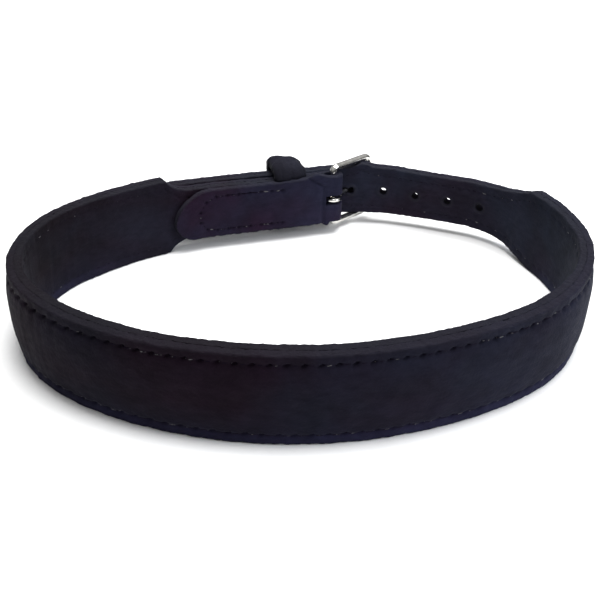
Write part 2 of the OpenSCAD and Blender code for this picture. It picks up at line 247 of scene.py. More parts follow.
def lean(u, z):
    """The tongue leans in at its top where it leaves the shoulder."""
    return -LEAN * (z - MID) * smooth(u, *LEAN_IN) * smooth(u, *LEAN_OUT)


def pressed(u):
    """1 along the two sides of the ring, where the inner leather is pressed flat."""
    return sum(bump(u, at, PRESSED_W) for at in PRESSED_AT)


def seam_marks(u, z, inset, low, top):
    """Groove, slanted needle cuts and puckers of the two stitch rows: how far the surface is drawn in."""
    total = np.zeros(np.broadcast(u, z).shape)
    for row, phase in ((low + inset + LOW_SEAM_EXTRA * wide(u), 0.0), (top - inset, 0.5)):
        away = z - row
        along = (u / STITCH + phase) % 1.0
        past_hole = ((along + 0.5) % 1.0 - 0.5) * STITCH
        lengthwise = past_hole * math.cos(NEEDLE_SLANT) + away * math.sin(NEEDLE_SLANT)
        crosswise = away * math.cos(NEEDLE_SLANT) - past_hole * math.sin(NEEDLE_SLANT)
        total += GROOVE * bump(away, 0, GROOVE_W)
        total += NEEDLE_CUT * np.exp(-((lengthwise / NEEDLE_CUT_L) ** 2 + (crosswise / NEEDLE_CUT_W) ** 2))
        total -= PUCKER * bump(np.abs(away), PUCKER_AWAY, PUCKER_W) * (1 - np.cos(TAU * along))
    return total


def outer_surface(u, z):
    """Outer face of the cover, as a distance from the inner face of the band."""
    w = wide(u)
    padded = smooth(u, U_SHOULDER_R + 3, U_SHOULDER_R - 12) * smooth(u, U_SHOULDER_L - 3, U_SHOULDER_L + 12)
    base = 2 * PLY + (EDGE_T - 2 * PLY) * w
    t = np.clip(np.abs(z - MID) / (MID - SEAM_INSET), 0, 1)
    swell = 1 - t ** 3.2
    lumps = 1 + LUMPS * waves(u + 0.6 * z, [17, 29, 43, 71], 11)
    rise = DOME * (1 - PRESSED_DOME * pressed(u))
    return base + rise * padded * swell * lumps + WAVER * waves(u - 0.4 * z, [9, 14, 33], 12) * w


def soft_creases(u, z, seed):
    """Slight upright creases where the leather is bent hard."""
    zones = sum(strength * bump(u, at, width) for at, width, strength in CREASE_ZONES)
    return CREASE_DEPTH * zones * waves(u + 0.12 * z, [2.9, 4.3, 6.7], seed)


def hole_rims(u, z):
    """The lips round the holes and the dips around them."""
    total = np.zeros(np.broadcast(u, z).shape)
    for at in HOLES_U:
        d = np.hypot(u - at, z - MID)
        total += LIP * bump(d, LIP_R, LIP_W) - DIP * bump(d, DIP_R, DIP_W)
    return total


# Mesh building

FACE_ROWS = 66
CORNER_STEPS = 4


def ring(low, top, inner, outer, radii, rows=FACE_ROWS):
    """Cross-sections of a leather: arrays (stations, points, 2) of distance and height, and where each
    point lies: 0 on the faces and 1 on the cut edges. inner and outer give the faces' distances, and
    radii how much the corners of the inner and the outer face are rounded."""
    n = len(low)
    low, top = low[:, None], top[:, None]
    r_in, r_out = (np.minimum(r, 0.3 * (top - low)) for r in radii)
    run = np.linspace(0, 1, rows)[None, :]
    z_in = low + r_in + run * (top - low - 2 * r_in)
    z_out = low + r_out + run * (top - low - 2 * r_out)
    xi, xo = inner(z_in), outer(z_out)
    bend = np.radians(np.linspace(0, 90, CORNER_STEPS + 2))[None, 1:-1]
    flat = np.linspace(0, 1, 5)[None, :]

    def corner(x, x_sign, z_edge, z_sign, r, angles):
        return np.stack([x - x_sign * r + x_sign * r * np.cos(angles),
                         z_edge - z_sign * r + z_sign * r * np.sin(angles)], 2)

    def edge(xa, xb, z_edge):
        a, b = xa + r_in, xb - r_out
        return np.stack([a + (b - a) * flat, z_edge + 0 * flat], 2)

    parts = [
        np.stack([xi, z_in], 2),
        corner(xi[:, -1:], -1, top, 1, r_in, bend),
        edge(xi[:, -1:], xo[:, -1:], top),
        corner(xo[:, -1:], 1, top, 1, r_out, bend[:, ::-1]),
        np.stack([xo[:, ::-1], z_out[:, ::-1]], 2),
        corner(xo[:, :1], 1, low, -1, r_out, bend),
        edge(xi[:, :1], xo[:, :1], low)[:, ::-1],
        corner(xi[:, :1], -1, low, -1, r_in, bend[:, ::-1]),
    ]
    cut = [0, 0.6, 1, 0.6, 0, 0.6, 1, 0.6]
    tags = np.concatenate([np.full(p.shape[1], c) for p, c in zip(parts, cut)])
    return np.concatenate(parts, 1), np.tile(tags, (n, 1))


def new_object(name, verts, faces):
    mesh = bpy.data.meshes.new(name)
    mesh.from_pydata([tuple(v) for v in (np.asarray(verts) * MM).tolist()], [], faces)
    mesh.update()
    obj = bpy.data.objects.new(name, mesh)
    bpy.context.scene.collection.objects.link(obj)
    return obj


def orient(obj):
    """Turns all faces to look outwards."""
    bm = bmesh.new()
    bm.from_mesh(obj.data)
    bmesh.ops.recalc_face_normals(bm, faces=bm.faces)
    if bm.calc_volume(signed=True) < 0:
        bmesh.ops.reverse_faces(bm, faces=bm.faces)
    bm.to_mesh(obj.data)
    bm.free()


def shade(obj, angle=50):
    obj.data.shade_smooth()
    obj.data.set_sharp_from_angle(angle=math.radians(angle))


def set_attribute(obj, name, values):
    values = np.asarray(values, np.float32)
    kind = "FLOAT_VECTOR" if values.ndim == 2 else "FLOAT"
    layer = obj.data.attributes.new(name, kind, "POINT")
    layer.data.foreach_set("vector" if values.ndim == 2 else "value", values.ravel())


def grid_faces(n, m, first=0):
    """Quads between n closed rings of m points each."""
    faces = []
    for i in range(n - 1):
        a = first + i * m
        for j in range(m):
            k = (j + 1) % m
            faces.append((a + j, a + k, a + m + k, a + m + j))
    return faces


def sweep(name, origins, normals, rings, tags, along):
    """A closed leather from its cross-sections. along is each station's place along the strap."""
    n, m = rings.shape[:2]
    co = np.empty((n, m, 3))
    co[..., :2] = origins[:, None, :] + normals[:, None, :] * rings[..., :1]
    co[..., 2] = rings[..., 1]
    faces = grid_faces(n, m)
    faces.append(tuple(range(m)))
    faces.append(tuple(range((n - 1) * m, n * m))[::-1])
    obj = new_object(name, co.reshape(-1, 3), faces)
    set_attribute(obj, "cut", tags.ravel())
    lie = np.stack([np.broadcast_to(along[:, None], (n, m)), rings[..., 1], rings[..., 0]], 2) * MM
    set_attribute(obj, "lie", lie.reshape(-1, 3))
    orient(obj)
    shade(obj)
    return obj


RAGGED = 0.1


def roughen(rings, tags, seed):
    """Fine unevenness of the cut edges."""
    noise = np.random.default_rng(seed)
    grain = noise.normal(0, 1, rings.shape)
    grain = (grain + np.roll(grain, 1, 0) + np.roll(grain, 1, 1)) / 2
    return rings + RAGGED * grain * tags[..., None]


# Leathers

def stations(a, b, step=STITCH / 8):
    return np.linspace(a, b, max(2, int(round(abs(b - a) / step)) + 1))


def ends_dense(a, b, tip_zone, step=STITCH / 8):
    """Stations from a to the rounded end b, closer together near b."""
    body = stations(a, b - math.copysign(tip_zone, b - a), step)
    t = np.linspace(0, 1, 26)[1:]
    return np.concatenate([body, b - math.copysign(tip_zone, b - a) * (1 - np.sin(t * math.pi / 2))])


def split_x(u):
    """The line between the two leathers."""
    return LINING_T + (SPLIT_WIDE - LINING_T) * wide(u) + 0.5 * PRESSED * pressed(u)


def inner_surface(u, z):
    """Inner face of the lining, stitching and holes aside."""
    sag = 0.2 * waves(u + 0.3 * z, [13, 27, 47, 90], 8) * wide(u)
    return lean(u, z) + PRESSED * pressed(u) + sag


def rim_tags(tags, rings, u):
    """Marks the punched lips of the holes like cut edges."""
    for at in HOLES_U:
        d = np.hypot(u[:, None] - at, rings[..., 1] - MID)
        tags = np.maximum(tags, 0.8 * bump(d, 2.0, 0.6))
    return tags


def lining_rings(u):
    low, top = edges(u)
    uu, lo, to = u[:, None], low[:, None], top[:, None]
    on_tongue = u.max() > U_SPLIT

    def inner(z):
        marks = seam_marks(uu, z, seam_inset(uu), lo, to)
        seat = SEAT * bump(uu, KEEPER_U, SEAT_W) ** 4
        rims = hole_rims(uu, z) if on_tongue else 0
        return inner_surface(uu, z) + INNER_MARKS * marks + seat + soft_creases(uu, z, 21) - rims

    def outer(z):
        return split_x(uu) - SPLIT_GAP + lean(uu, z) + 0 * z

    rings, tags = ring(low, top, inner, outer, LINING_ROUND)
    return roughen(rings, tags, 31), rim_tags(tags, rings, u) if on_tongue else tags


def cover_rings(u):
    low, top = edges(u)
    uu, lo, to = u[:, None], low[:, None], top[:, None]
    on_tongue = u.max() > U_SPLIT

    def inner(z):
        return split_x(uu) + SPLIT_GAP + lean(uu, z) + 0 * z

    def outer(z):
        marks = seam_marks(uu, z, seam_inset(uu), lo, to)
        rims = hole_rims(uu, z) if on_tongue else 0
        return outer_surface(uu, z) + lean(uu, z) - marks + soft_creases(uu, z, 22) + rims

    rings, tags = ring(low, top, inner, outer, COVER_ROUND)
    return roughen(rings, tags, 32), rim_tags(tags, rings, u) if on_tongue else tags


def build_lining():
    u = stations(U_BAR + LOOP_LEG, U_SPLIT)
    rings, tags = lining_rings(u)
    origins, normals = place(u)
    return sweep("lining_leather", origins, normals, rings, tags, u)


def loop_edges(away):
    """Lower and upper edge of the strap at a distance from the bar."""
    low = LOOP_LOW - (LOOP_LOW - MID + STRAP_H / 2) * smooth(away, 2.2, 2.6)
    top = LOOP_TOP + (MID + STRAP_H / 2 - LOOP_TOP) * smooth(away, LOOP_LEG, LOOP_LEG + 3)
    return low, top


def crease(away, z):
    """The crease where the loop begins; it slants towards the band at its top."""
    return 0.7 * bump(away, LOOP_LEG + 1.6 + 1.5 * np.maximum(z - 21.5, 0), 0.95)


def bar_axes():
    """At the bar: the direction away from the band, and the outward one."""
    outward = place([U_BAR])[1][0]
    ahead = place([U_BAR])[0][0] - place([U_BAR + 5])[0][0]
    return ahead / np.linalg.norm(ahead), outward


def build_cover():
    """The cover with its buckle end: out along the strap, round the bar and back on the inside."""
    u = stations(U_BAR, U_SPLIT)[::-1]
    rings, tags = cover_rings(u)
    origins, normals = place(u)
    near_bar = u < U_BAR + 12
    low, top = (e[:, None] for e in loop_edges(u[near_bar] - U_BAR))
    up = (rings[near_bar, :, 1] - MID) / STRAP_H + 0.5
    rings[near_bar, :, 1] = low + up * (top - low)

    ahead, outward = bar_axes()
    turn = np.radians(np.linspace(0, 180, 30))[1:-1]
    loop_normals = np.cos(turn)[:, None] * outward + np.sin(turn)[:, None] * ahead
    loop_low = np.full(len(turn), LOOP_LOW)
    loop_top = np.full(len(turn), LOOP_TOP)
    around = turn[:, None] * (LOOP_IN + PLY)
    loop_rings, loop_tags = ring(loop_low, loop_top, lambda z: LOOP_IN + 0.03 + 0 * z,
                                 lambda z: LOOP_IN + PLY + 0.08 * waves(z + around, [4, 7, 11], 41),
                                 FOLD_ROUND)

    back = ends_dense(U_BAR, FOLD_TIP_U, STRAP_H / 2)
    away = np.abs(back - U_BAR)
    to_tip = np.abs(FOLD_TIP_U - back)
    rag = 0.14 * waves(back, [3.3, 5.9, 12], 42)
    torn = 0.9 * smooth(away, 2.2, 2.5) * smooth(away, 6.0, 3.2)
    raised = 1.9 * bump(away, 8.0, 3.6) + 0.5 * bump(back, KEEPER_U, 10)
    low, top = loop_edges(away)
    top = top + raised - blunt_drop(to_tip, TURNED_UP) + rag
    low = low + blunt_drop(to_tip, TURNED_LOW) + rag[::-1] - torn
    bb, aa = back[:, None], away[:, None]

    def lift(z):
        return 0.8 * bump(bb, KEEPER_U, 9) * smooth(z, 5, 20) + 0.3 * bump(bb, FOLD_TIP_U, 8)

    def fold_outer(z):
        lumps = 0.14 * waves(bb + 0.5 * z, [7, 12, 19, 31], 43)
        return -FOLD_X + PLY + lift(z) - turned_end_marks(bb, z) - crease(aa, z) + lumps

    def fold_inner(z):
        return -FOLD_X + 0.02 + lift(z)

    back_rings, back_tags = ring(low, top, fold_inner, fold_outer, FOLD_ROUND)
    back_at, back_normals = place(back)

    all_rings = np.concatenate([rings, roughen(loop_rings, loop_tags, 33),
                                roughen(back_rings, back_tags, 34)])
    all_tags = np.concatenate([tags, loop_tags, back_tags])
    all_origins = np.concatenate([origins, np.broadcast_to(BAR, (len(turn), 2)), back_at])
    all_normals = np.concatenate([normals, loop_normals, -back_normals])
    along = np.concatenate([u, U_BAR - around[:, 0], U_BAR - around[-1, 0] - away])
    return sweep("cover_leather", all_origins, all_normals, all_rings, all_tags, along)


FOLD_SEAM = 2.9


def fold_seam_path():
    """The stitch line of the turned end: along its upper edge, round its tip and back below, as
    places (u, z) one stitch apart."""
    r = STRAP_H / 2 - FOLD_SEAM
    straight_end = U_BAR + 22.0
    tip_centre = FOLD_TIP_U - 17.0
    run = tip_centre - straight_end
    total = 2 * run + math.pi * r
    points = []
    for s in np.linspace(0, total, int(round(total / STITCH)) + 1):
        if s < run:
            points.append((straight_end + s, MID + r))
        elif s < run + math.pi * r:
            a = (s - run) / r
            points.append((tip_centre + r * math.sin(a), MID - 1.2 * math.sin(a) + r * math.cos(a)))
        else:
            points.append((tip_centre - (s - run - math.pi * r), MID - r))
    return np.array(points)


FOLD_POINTS = fold_seam_path()


def turned_end_marks(u, z):
    """Groove and needle holes of the turned end's stitching."""
    total = np.zeros(np.broadcast(u, z).shape)
    for k, (pu, pz) in enumerate(FOLD_POINTS):
        total += 1.1 * np.exp(-(((u - pu) / 0.72) ** 2 + ((z - pz) / 0.66) ** 2))
        if k:
            qu, qz = (FOLD_POINTS[k - 1] + FOLD_POINTS[k]) / 2
            total += 0.4 * np.exp(-(((u - qu) / 1.3) ** 2 + ((z - qz) / 0.9) ** 2))
    return total


def build_tongue():
    u = ends_dense(U_SPLIT, U_TIP, STRAP_H / 2, step=0.62)
    origins, normals = place(u)
    rings, tags = lining_rings(u)
    inner = sweep("tongue_lining", origins, normals, rings, tags, u)
    rings, tags = cover_rings(u)
    outer = sweep("tongue_cover", origins, normals, rings, tags, u)
    return inner, outer


def cylinder_cutter(centre, direction, radius, length, sides=40):
    """Verts and faces of a cylinder that a hole is cut with."""
    direction = Vector(direction).normalized()
    turn = direction.to_track_quat("Z", "Y").to_matrix()
    verts, faces = [], []
    for end in (-0.5, 0.5):
        for k in range(sides):
            a = TAU * k / sides
            p = turn @ Vector((radius * math.cos(a), radius * math.sin(a), end * length))
            verts.append(tuple(p + Vector(centre)))
    for k in range(sides):
        j = (k + 1) % sides
        faces.append((k, j, sides + j, sides + k))
    faces.append(tuple(range(sides))[::-1])
    faces.append(tuple(range(sides, 2 * sides)))
    return verts, faces


def cut(obj, cutters, name):
    """Takes the cutters out of obj."""
    verts, faces = [], []
    for v, f in cutters:
        faces += [tuple(i + len(verts) for i in face) for face in f]
        verts += v
    tool = new_object(name, verts, faces)
    mod = obj.modifiers.new("cut", "BOOLEAN")
    mod.operation = "DIFFERENCE"
    mod.solver = "EXACT"
    mod.object = tool
    depsgraph = bpy.context.evaluated_depsgraph_get()
    result = bpy.data.meshes.new_from_object(obj.evaluated_get(depsgraph))
    obj.modifiers.clear()
    old = obj.data
    obj.data = result
    bpy.data.meshes.remove(old)
    bpy.data.objects.remove(tool)
    shade(obj, 45)


PRONG_DIR = math.radians(51.65)
PRONG_CUT_AT, PRONG_CUT_R, PRONG_CUT_L = 15, 1.45, 20    # its way through the tongue, from the bar
HOLE_CUT_L = 14


def hole_cutters():
    """Cylinders for the punched holes, each a little different in width."""
    cutters = []
    points, normals = place(HOLES_U)
    for i, (p, n) in enumerate(zip(points, normals)):
        centre = p + n * PLY
        radius = HOLE_R + 0.07 * math.sin(2.1 * i)
        cutters.append(cylinder_cutter((centre[0], centre[1], MID), (n[0], n[1], 0), radius, HOLE_CUT_L))
    return cutters


def prong_cutter():
    """The prong's way through the tongue, from the hole in use."""
    d = np.array([math.cos(PRONG_DIR), math.sin(PRONG_DIR)])
    centre = BAR + d * PRONG_CUT_AT
    return cylinder_cutter((centre[0], centre[1], MID), (d[0], d[1], 0), PRONG_CUT_R, PRONG_CUT_L)


def slot_cutter():
    """A box that cuts the prong's slot in the loop round the bar."""
    t, n = bar_axes()
    back, ahead, side, half = 3.8, 6.0, 6.0, 2.0
    verts = []
    for z in (MID - half, MID + half):
        for a, b in ((-back, -side), (ahead, -side), (ahead, side), (-back, side)):
            p = BAR + t * a + n * b
            verts.append((p[0], p[1], z))
    faces = [(3, 2, 1, 0), (4, 5, 6, 7), (0, 1, 5, 4), (1, 2, 6, 5), (2, 3, 7, 6), (3, 0, 4, 7)]
    return verts, faces


# Keeper

KEEPER_W = 12.8
KEEPER_HALF_T, KEEPER_HIDDEN = 1.08, 0.45     # half its thickness, and what is off it inside
KEEPER_PUFF, KEEPER_TILT = 1.7, 1.0           # how far its top is puffed up, and tilted
KEEPER_RAG = 0.3


def build_keeper():
    """A strip of leather bent round strap and tongue. Its cross-section is swept round a rounded
    rectangle, puffed up over the top and marked by two fine creases."""
    x_in, x_out = 0.3, 12.6
    z_top, z_low = 13.1, 11.2
    corner = 3.4
    path = []
    inner_low, inner_top = 1.3, 2.6
    for cx, cz, r, a0 in (
            (x_out - corner, z_top - corner, corner, 90),
            (x_out - corner, corner - z_low, corner, 0),
            (x_in + inner_low, inner_low - z_low, inner_low, -90),
            (x_in + inner_top, z_top - inner_top, inner_top, -180)):
        for a in np.radians(np.linspace(a0, a0 - 90, 9)):
            path.append((cx + r * math.cos(a), cz + r * math.sin(a)))
    path = np.array(path)
    closed = np.concatenate([path, path[:1]])
    length = np.concatenate([[0], np.cumsum(np.hypot(*np.diff(closed, axis=0).T))])
    total = length[-1]
    s = np.linspace(0, total, 150, endpoint=False)
    mid = np.stack([np.interp(s, length, closed[:, k]) for k in (0, 1)], 1)
    ahead = np.roll(mid, -1, 0) - np.roll(mid, 1, 0)
    ahead /= np.linalg.norm(ahead, axis=1)[:, None]
    outward = np.stack([-ahead[:, 1], ahead[:, 0]], 1)
    if np.dot(outward[0], mid[0] - mid.mean(0)) < 0:
        outward = -outward
    inner_leg = smooth(mid[:, 1], 11.5, 9.5) * smooth(mid[:, 0], 2.6, 0.8)
    front = smooth(mid[:, 1], 8.5, 11) * smooth(mid[:, 0], 9, 4)
    over_top = smooth(mid[:, 1], 6.5, 11.0)
    half_t = KEEPER_HALF_T - KEEPER_HIDDEN * inner_leg
    w = np.linspace(-1, 1, 25)
    verts, tags, lie = [], [], []
    for k in range(len(s)):
        half_w = KEEPER_W / 2 + KEEPER_RAG * float(waves(s[k], [2.3, 3.7, 7.9, 15], 51))
        fold_line = 0.36 * front[k] * bump(w, -0.02, 0.1) + 0.22 * front[k] * bump(w, 0.6, 0.08)
        arch = over_top[k] * (KEEPER_PUFF * (1 - np.abs(w) ** 4) + KEEPER_TILT * w)
        face_out = half_t[k] + arch - fold_line + 0.13 * waves(w * 6 + s[k], [4.1, 6.3, 9.7], 52)
        face_in = -half_t[k] + 0 * w
        side_t = np.linspace(0, 1, 5)[1:-1]
        xs = np.concatenate([w, np.full(3, 1.03), w[::-1], np.full(3, -1.03)])
        ts = np.concatenate([face_out, face_out[-1] + (face_in[-1] - face_out[-1]) * side_t,
                             face_in[::-1], face_in[0] + (face_out[0] - face_in[0]) * side_t])
        tag = np.concatenate([np.zeros(len(w)), np.ones(3), np.zeros(len(w)), np.ones(3)])
        for x, t, g in zip(xs, ts, tag):
            at = mid[k] + outward[k] * t
            verts.append((x * half_w, at[0], at[1]))
            tags.append(g)
            lie.append((x * half_w, s[k], t))
    verts = np.array(verts)
    p, n = place([KEEPER_U])
    p, n = p[0], n[0]
    t = np.array([-n[1], n[0]])
    world = np.empty((len(verts), 3))
    world[:, :2] = p + verts[:, :1] * t + verts[:, 1:2] * n
    world[:, 2] = MID + verts[:, 2]
    m = 2 * len(w) + 6            # points of a cross-section
    faces = grid_faces(len(s), m)
    last = (len(s) - 1) * m
    faces += [(last + j, last + (j + 1) % m, (j + 1) % m, j) for j in range(m)]
    obj = new_object("keeper_leather", world, faces)
    set_attribute(obj, "cut", tags)
    set_attribute(obj, "lie", np.array(lie) * MM)
    orient(obj)
    shade(obj)
    return obj


# Prong

PRONG_R = 1.1
EYE_WIRE_R = 0.8
EYE_R = 2.95
EYE_Z = MID - 0.45            # the eye lies low in its slot
PRONG_L = 22.7
EYE_ARC = (28, 318)           # the eye's curl, in degrees from the prong's direction
SHANK_START = 8.5             # the prong is straight from here on
SHANK_TAPER = 0.012
SHANK_PULL = 7.0              # how far both directions reach into the bend between eye and shank


def build_prong():
    """A wire curled into an eye round the bar, then straight and slightly tapered to a round tip."""
    ahead = np.array([math.cos(PRONG_DIR), math.sin(PRONG_DIR)])
    side = np.array([-ahead[1], ahead[0]])
    curl = np.radians(np.linspace(*EYE_ARC, 56))
    eye = BAR + EYE_R * (np.cos(curl)[:, None] * ahead + np.sin(curl)[:, None] * side)
    eye_end, eye_heading = eye[-1], (eye[-1] - eye[-2]) / np.linalg.norm(eye[-1] - eye[-2])
    joined = BAR + SHANK_START * ahead
    t = np.linspace(0, 1, 14)[1:, None]
    bend = ((2 * t ** 3 - 3 * t ** 2 + 1) * eye_end + (t ** 3 - 2 * t ** 2 + t) * SHANK_PULL * eye_heading
            + (3 * t ** 2 - 2 * t ** 3) * joined + (t ** 3 - t ** 2) * SHANK_PULL * ahead)
    along = np.concatenate([np.linspace(SHANK_START, PRONG_L - PRONG_R, 20)[1:],
                            PRONG_L - PRONG_R * (1 - np.sin(np.linspace(0.2, math.pi / 2, 7)))])
    shank = BAR + along[:, None] * ahead
    path = np.concatenate([eye, bend, shank])
    z = np.concatenate([np.full(len(eye), EYE_Z), EYE_Z + (MID - EYE_Z) * smooth(t[:, 0], 0, 1),
                        np.full(len(shank), MID)])
    tip = np.sqrt(np.maximum(1 - (np.maximum(along - PRONG_L + PRONG_R, 0) / PRONG_R) ** 2, 0.0004))
    radius = np.concatenate([np.full(len(eye), EYE_WIRE_R), EYE_WIRE_R + (PRONG_R - EYE_WIRE_R) * t[:, 0],
                             (PRONG_R - SHANK_TAPER * (along - SHANK_START)) * tip])
    heading = np.gradient(path, axis=0)
    heading /= np.linalg.norm(heading, axis=1)[:, None]
    across = np.stack([-heading[:, 1], heading[:, 0]], 1)
    sides = 20
    a = np.arange(sides) * TAU / sides
    co = np.empty((len(path), sides, 3))
    co[..., :2] = path[:, None, :] + across[:, None, :] * (radius[:, None] * np.cos(a))[..., None]
    co[..., 2] = z[:, None] + radius[:, None] * np.sin(a)
    faces = grid_faces(len(path), sides)
    faces.append(tuple(range(sides)))
    faces.append(tuple(range((len(path) - 1) * sides, len(path) * sides))[::-1])
    obj = new_object("prong_wire", co.reshape(-1, 3), faces)
    orient(obj)
    shade(obj)
    return obj


# Stitches

THREAD_R = 0.26
STITCH_RINGS = 8
THREAD_SIDES = 8
THREAD_TRIM = 0.2             # share of the pitch that is hidden in the needle cuts
THREAD_SLANT = 0.16
THREAD_RISE, THREAD_DIVE = 0.1, 0.8       # its middle's height, and how far its ends go down
THREAD_THINNER = 0.45                     # share of its radius that is lost at its ends
THREAD_TWIST, THREAD_TURNS = 0.13, 2.4
SUNK_OUTER, SUNK_INNER = 0.4, 0.36        # how deep it lies in the two faces


def stitch_mesh(name, stitches):
    """One mesh of all the stitches of a row. Each stitch is (u0, z0, u1, z1, surface, side): it runs
    between two needle holes over a face whose distance is surface(u, z), on the side it is seen from."""
    verts, faces = [], []
    t = np.linspace(0, 1, STITCH_RINGS)
    a = np.arange(THREAD_SIDES) * TAU / THREAD_SIDES
    for u0, z0, u1, z1, surface, side in stitches:
        span = math.hypot(u1 - u0, z1 - z0)
        tt = THREAD_TRIM / 2 + (1 - THREAD_TRIM) * t
        u = u0 + (u1 - u0) * tt
        z = z0 + (z1 - z0) * tt
        du, dz = (u1 - u0) / span, (z1 - z0) / span
        shift = THREAD_SLANT * (tt - 0.5) * 2
        u, z = u - dz * shift, z + du * shift
        height = THREAD_RISE - THREAD_DIVE * np.abs(2 * tt - 1) ** 3
        x = surface(u, z) + side * height
        radius = THREAD_R * (1 - THREAD_THINNER * np.abs(2 * tt - 1) ** 5)
        origin, normal = place(u)
        twist = 1 + THREAD_TWIST * np.cos(2 * a[None, :] - TAU * THREAD_TURNS * tt[:, None])
        rr = radius[:, None] * twist
        off = x[:, None] + rr * np.cos(a)[None, :]
        cross = rr * np.sin(a)[None, :]
        tangent = np.stack([-normal[:, 1], normal[:, 0]], 1)
        forward = np.sign(np.einsum("ij,ij->i", tangent, np.gradient(origin, axis=0)))
        forward = np.where(forward == 0, 1, forward) * np.sign(u1 - u0 if u1 != u0 else 1)
        tangent = tangent * forward[:, None]
        co = np.empty((STITCH_RINGS, THREAD_SIDES, 3))
        co[..., :2] = (origin[:, None, :] + normal[:, None, :] * off[..., None]
                       - tangent[:, None, :] * (cross * dz)[..., None])
        co[..., 2] = z[:, None] + cross * du
        first = len(verts)
        verts += co.reshape(-1, 3).tolist()
        faces += grid_faces(STITCH_RINGS, THREAD_SIDES, first=first)
        faces.append(tuple(first + j for j in range(THREAD_SIDES)))
        end = first + (STITCH_RINGS - 1) * THREAD_SIDES
        faces.append(tuple(end + j for j in range(THREAD_SIDES))[::-1])
    obj = new_object(name, verts, faces)
    orient(obj)
    shade(obj)
    return obj


def sunk_outer(u, z):
    """Where the thread lies in the outer face."""
    return outer_surface(u, z) + lean(u, z) - SUNK_OUTER


def sunk_inner(u, z):
    return inner_surface(u, z) + SUNK_INNER


def row_stitches(a, b, upper, outer):
    """Stitches of a row between the distances a and b, on the outer or the inner face."""
    phase = 0.5 if upper else 0.0
    out = []
    k = math.ceil(a / STITCH + phase)
    while (k + 1 - phase) * STITCH <= b:
        u0, u1 = (k - phase) * STITCH, (k + 1 - phase) * STITCH
        k += 1
        z = []
        for u in (u0, u1):
            low, top = edges(np.array([u]))
            inset = float(seam_inset(np.array([u]))[0])
            extra = LOW_SEAM_EXTRA * float(wide(np.array([u]))[0])
            z.append(float(top[0] - inset) if upper else float(low[0] + inset + extra))
        surface, side = (sunk_outer, 1) if outer else (sunk_inner, -1)
        out.append((u0, z[0], u1, z[1], surface, side))
    return out


def build_stitches():
    made = {}
    for upper, name in ((True, "upper_stitches"), (False, "lower_stitches")):
        rows = row_stitches(U_STRAP_L + 3, U_SPLIT, upper, True)
        rows += row_stitches(U_SHOULDER_L, U_SPLIT, upper, False)
        made[name] = stitch_mesh(name, rows)
    tongue = []
    for upper in (True, False):
        for outer in (True, False):
            tongue += row_stitches(U_SPLIT, U_TIP - STRAP_H / 2, upper, outer)
    made["tongue_stitches"] = stitch_mesh("tongue_stitches", tongue)

    def fold_surface(uu, zz):
        return FOLD_X - PLY + 0.55 - 0.8 * bump(uu, KEEPER_U, 9) * smooth(zz, 5, 20)

    fold = [(*a, *b, fold_surface, -1) for a, b in zip(FOLD_POINTS[:-1], FOLD_POINTS[1:])]
    made["turnback_stitches"] = stitch_mesh("turnback_stitches", fold)
    return made


# Materials. Lengths are in metres here, as in the meshes. The colours are linear: each leather's left and
# right side, mixed at random, where the right side's cooler and lighter tint is painted cool light; its
# worn fibres at the back, with darker copies of them at the left and right of the front as painted shade;
# and painted floor light, bluer, on the lower part that faces the bright floor.

WARM, COOL = (0.0122, 0.0038, 0.0128), (0.0104, 0.0114, 0.0258)
INNER_WARM, INNER_COOL = (0.0094, 0.0036, 0.0086), (0.0096, 0.0122, 0.0225)
KEEPER_WARM, KEEPER_COOL = (0.0078, 0.0040, 0.0086), (0.0066, 0.0072, 0.0120)
FIBRE = (0.0125, 0.0130, 0.0170)
FIBRE_PAINTED_SHADE_LEFT, FIBRE_PAINTED_SHADE_RIGHT = (0.0080, 0.0072, 0.0096), (0.0110, 0.0098, 0.0150)
FLOOR_LIT = (0.0112, 0.0112, 0.0290)


class Shader:
    """A few lines of help for building node trees."""

    def __init__(self, name):
        self.mat = bpy.data.materials.new(name)
        self.mat.use_nodes = True
        self.tree = self.mat.node_tree
        self.bsdf = self.tree.nodes["Principled BSDF"]

    def add(self, kind, inputs=None, **settings):
        made = self.tree.nodes.new(kind)
        for key, value in settings.items():
            setattr(made, key, value)
        for key, value in (inputs or {}).items():
            self.put(made.inputs[key], value)
        return made

    def put(self, socket, value):
        if isinstance(value, bpy.types.NodeSocket):
            self.tree.links.new(value, socket)
        elif isinstance(value, (tuple, list)) and len(value) == 3 and socket.type == "RGBA":
            socket.default_value = (*value, 1)
        else:
            socket.default_value = value

    def noise(self, vector, scale, detail=4, rough=0.6, distortion=0.0):
        return self.add("ShaderNodeTexNoise", {"Vector": vector, "Scale": scale, "Detail": detail,
                                               "Roughness": rough, "Distortion": distortion}).outputs["Fac"]

    def remap(self, value, low, high, to_low=0.0, to_high=1.0):
        return self.add("ShaderNodeMapRange", {"Value": value, "From Min": low, "From Max": high,
                                               "To Min": to_low, "To Max": to_high}).outputs["Result"]

    def math(self, operation, a, b=0.0):
        made = self.add("ShaderNodeMath", operation=operation)
        self.put(made.inputs[0], a)
        self.put(made.inputs[1], b)
        return made.outputs[0]

    def mix(self, factor, a, b, blend="MIX"):
        made = self.add("ShaderNodeMix", data_type="RGBA", blend_type=blend)
        self.put(made.inputs["Factor"], factor)
        self.put(made.inputs["A"], a)
        self.put(made.inputs["B"], b)
        return made.outputs["Result"]

    def stretch(self, vector, scale):
        return self.add("ShaderNodeMapping", {"Vector": vector, "Scale": scale}).outputs["Vector"]


